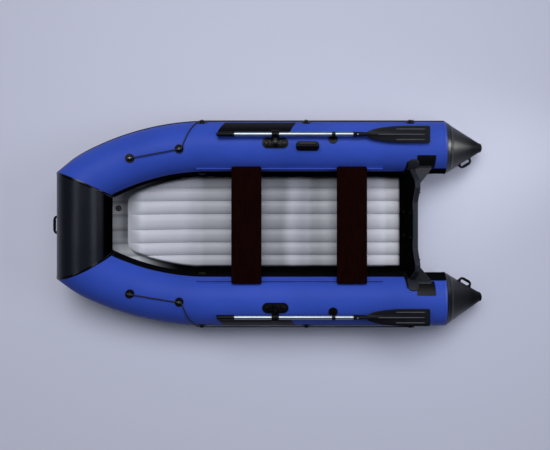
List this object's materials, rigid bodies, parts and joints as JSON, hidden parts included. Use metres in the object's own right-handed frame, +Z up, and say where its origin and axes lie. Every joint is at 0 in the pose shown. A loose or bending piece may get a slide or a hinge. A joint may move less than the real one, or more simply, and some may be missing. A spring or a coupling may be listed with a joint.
{
  "type": "inflatable boat",
  "caption": "Inflatable rowing and motor boat with twin side tubes and cone sterns, air floor, wooden transom, sliding benches, stowed oars, lifelines and carrying handles.",
  "frame": {"origin": "on the ground under the middle of the boat's length and beam", "axes": "+X towards the bow, +Y to port, +Z up"},
  "size_m": [3.0602, 1.4868, 0.5084],
  "materials": {
    "blue_fabric": "satin",
    "black_fabric": "satin",
    "grey_fabric": "satin",
    "black_rubber": "matte",
    "grey_rubber": "matte",
    "blue_rubber": "matte",
    "black_board": "satin",
    "brown_board": "satin",
    "black_plastic": "matte",
    "grey_plastic": "satin",
    "blade_plastic": "satin",
    "aluminium_tube": "satin",
    "rope": "matte"
  },
  "bodies": {
    "hull": {"port_tube": "blue_fabric", "starboard_tube": "blue_fabric", "bow_tube": "black_fabric", "port_cone": "black_rubber", "starboard_cone": "black_rubber", "air_floor": "grey_fabric", "hull_bottom": "black_fabric", "keel_strip": "grey_rubber", "transom": "black_board", "transom_cap": "grey_plastic", "motor_pads": "black_plastic", "drain_valve": "black_plastic", "floor_valve": "black_plastic", "side_handle": "black_rubber", "bow_handle": "black_rubber", "port_rub_strake": "black_rubber", "starboard_rub_strake": "black_rubber", "port_transom_holder": "black_rubber", "starboard_transom_holder": "black_rubber", "port_stern_patch": "black_rubber", "starboard_stern_patch": "black_rubber", "port_transom_gusset": "grey_rubber", "starboard_transom_gusset": "grey_rubber", "port_bench_rail": "blue_rubber", "starboard_bench_rail": "blue_rubber", "port_oarlock_base": "black_rubber", "starboard_oarlock_base": "black_rubber", "port_oar_keeper": "black_rubber", "starboard_oar_keeper": "black_rubber", "port_stern_handle": "black_rubber", "starboard_stern_handle": "black_rubber", "port_rope_rings": "black_rubber", "starboard_rope_rings": "black_rubber", "port_lifeline": "rope", "starboard_lifeline": "rope", "port_tube_valve": "black_plastic", "starboard_tube_valve": "black_plastic"},
    "front_bench": {"front_bench_board": "brown_board", "front_bench_channels": "black_plastic"},
    "rear_bench": {"rear_bench_board": "brown_board", "rear_bench_channels": "black_plastic"},
    "port_oar": {"port_oar_swivel": "black_plastic", "port_oar_shaft": "aluminium_tube", "port_oar_grip": "black_rubber", "port_oar_blade": "blade_plastic"},
    "starboard_oar": {"starboard_oar_swivel": "black_plastic", "starboard_oar_shaft": "aluminium_tube", "starboard_oar_grip": "black_rubber", "starboard_oar_blade": "blade_plastic"}
  },
  "joints": [
    {"name": "port_oar_swing", "type": "hinge", "parent": "hull", "child": "port_oar", "pos_m": [-0.025, 0.57096, 0.3719], "axis": [0, -0.1495, -0.9888], "range_deg": [0, 125]},
    {"name": "starboard_oar_swing", "type": "hinge", "parent": "hull", "child": "starboard_oar", "pos_m": [-0.025, -0.57096, 0.3719], "axis": [0, -0.1495, 0.9888], "range_deg": [0, 125]},
    {"name": "front_bench_slide", "type": "slide", "parent": "hull", "child": "front_bench", "axis": [1, 0, 0], "range_m": [-0.2, 0.18]},
    {"name": "rear_bench_slide", "type": "slide", "parent": "hull", "child": "rear_bench", "axis": [1, 0, 0], "range_m": [-0.1, 0.2]}
  ]
}
